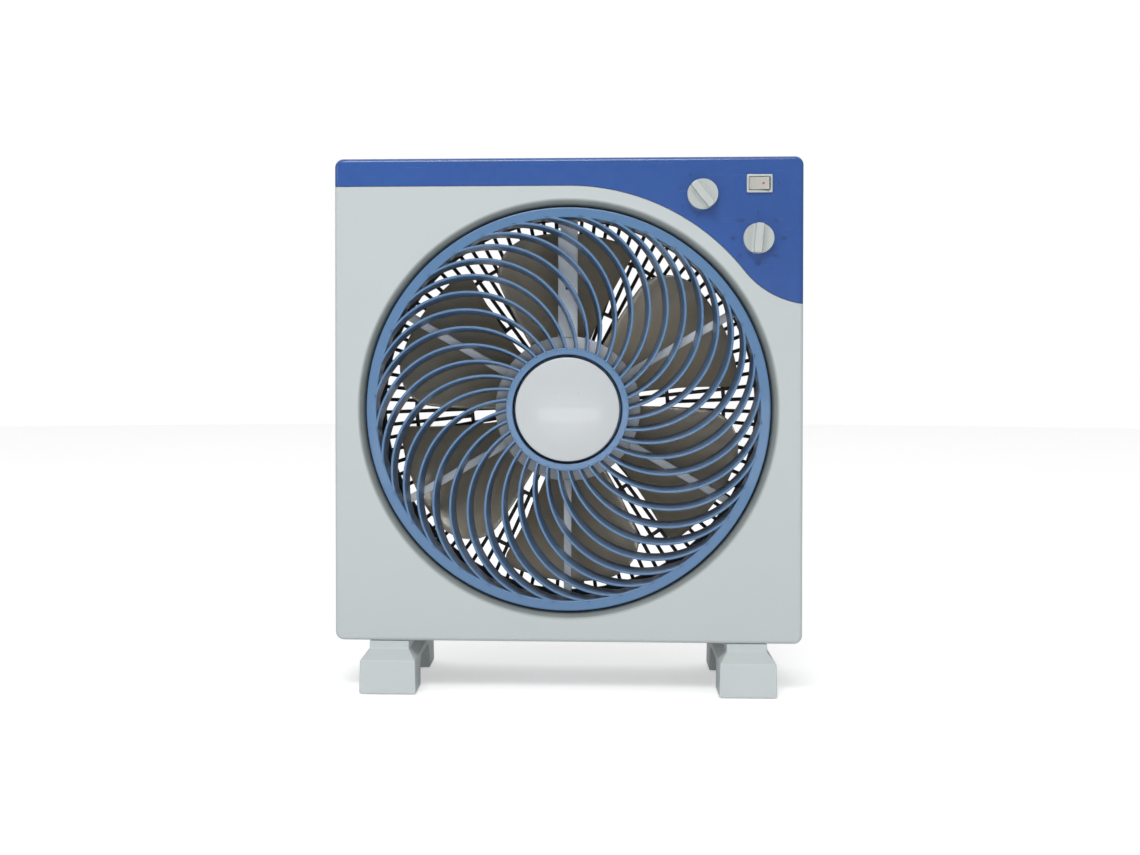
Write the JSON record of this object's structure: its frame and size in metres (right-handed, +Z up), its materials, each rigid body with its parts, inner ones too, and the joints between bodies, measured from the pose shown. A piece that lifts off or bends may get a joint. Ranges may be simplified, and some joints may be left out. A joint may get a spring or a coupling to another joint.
{
  "type": "box fan with rotating louvre grille",
  "caption": "Square free-standing box fan: two-part casing on feet, bladed impeller, turning curved-vane louvre, round guard at the back and a corner control panel with two knobs and a rocker.",
  "frame": {"origin": "on the floor, below the middle of the casing", "axes": "+Z up, -Y towards the viewer in front of the fan (the side it blows to), +X to the right seen from the front"},
  "size_m": [0.386, 0.164, 0.443],
  "materials": {
    "casing_white": "fine satin moulded plastic",
    "bracket_grey": "satin moulded plastic",
    "cap_white": "semi-gloss moulded plastic",
    "panel_blue": "glossy moulded plastic, light dust",
    "louvre_blue": "semi-gloss moulded plastic",
    "blade_smoke": "smoky translucent moulded plastic",
    "grille_black": "satin moulded plastic",
    "steel": "ground bright steel",
    "zinc": "bright zinc plate",
    "motor_metal": "die-cast, dull",
    "lamination": "stacked electrical steel",
    "copper": "enamelled copper winding",
    "bronze": "sintered bronze",
    "switch_grey": "moulded phenolic",
    "knob_white": "semi-gloss moulded plastic",
    "lead_black": "soft insulated lead",
    "foot_rubber": "dull soft rubber"
  },
  "bodies": {
    "housing": {"front_shell": "casing_white", "rear_shell": "casing_white", "control_panel": "panel_blue", "rear_grille": "grille_black", "front_bracket": "bracket_grey", "louvre_motor": "zinc", "louvre_motor_screw_right": "zinc", "louvre_motor_screw_left": "zinc", "motor_stator": "lamination", "motor_coil_front": "copper", "motor_coil_rear": "copper", "motor_front_bell": "motor_metal", "motor_rear_bell": "motor_metal", "motor_front_bearing": "bronze", "motor_rear_bearing": "bronze", "speed_switch": "switch_grey", "timer": "switch_grey", "rocker_body": "knob_white", "capacitor": "switch_grey", "cord_gland": "grille_black", "motor_lead": "lead_black", "louvre_motor_lead": "lead_black", "mains_lead": "lead_black", "foot_left": "casing_white", "foot_right": "casing_white", "motor_screw_1": "zinc", "casing_screw_1": "zinc", "grille_screw_1": "zinc", "motor_screw_2": "zinc", "casing_screw_2": "zinc", "grille_screw_2": "zinc", "motor_screw_3": "zinc", "casing_screw_3": "zinc", "grille_screw_3": "zinc", "motor_screw_4": "zinc", "casing_screw_4": "zinc", "grille_screw_4": "zinc", "bracket_screw_1": "zinc", "bracket_screw_2": "zinc", "bracket_screw_3": "zinc", "bracket_screw_4": "zinc", "bracket_screw_5": "zinc", "foot_pad_left_front": "foot_rubber", "foot_pad_left_rear": "foot_rubber", "foot_pad_right_front": "foot_rubber", "foot_pad_right_rear": "foot_rubber"},
    "impeller_set": {"impeller": "blade_smoke", "spinner_nut": "grille_black", "motor_shaft": "steel", "motor_rotor": "lamination"},
    "louvre_set": {"louvre_grille": "louvre_blue", "louvre_cap": "cap_white", "louvre_shaft": "steel", "louvre_screw": "zinc"},
    "speed_knob_set": {"speed_knob": "knob_white", "speed_spindle": "steel"},
    "timer_knob_set": {"timer_knob": "knob_white", "timer_spindle": "steel"},
    "paddle_set": {"rocker_paddle": "knob_white"}
  },
  "joints": [
    {"name": "impeller_spin", "type": "hinge", "parent": "housing", "child": "impeller_set", "pos_m": [0, 0, 0.2355], "axis": [0, -1, 0], "continuous": true},
    {"name": "louvre_spin", "type": "hinge", "parent": "housing", "child": "louvre_set", "pos_m": [0, -0.05, 0.2355], "axis": [0, -1, 0], "continuous": true},
    {"name": "speed_knob_turn", "type": "hinge", "parent": "housing", "child": "speed_knob_set", "pos_m": [0.1105, -0.0703, 0.412], "axis": [0, -1, 0], "range_deg": [0, 135]},
    {"name": "timer_knob_turn", "type": "hinge", "parent": "housing", "child": "timer_knob_set", "pos_m": [0.156, -0.0703, 0.3758], "axis": [0, 1, 0], "range_deg": [0, 315]},
    {"name": "rocker_tilt", "type": "hinge", "parent": "housing", "child": "paddle_set", "pos_m": [0.157, -0.0703, 0.4207], "axis": [0, 0, 1], "range_deg": [0, 16]}
  ]
}
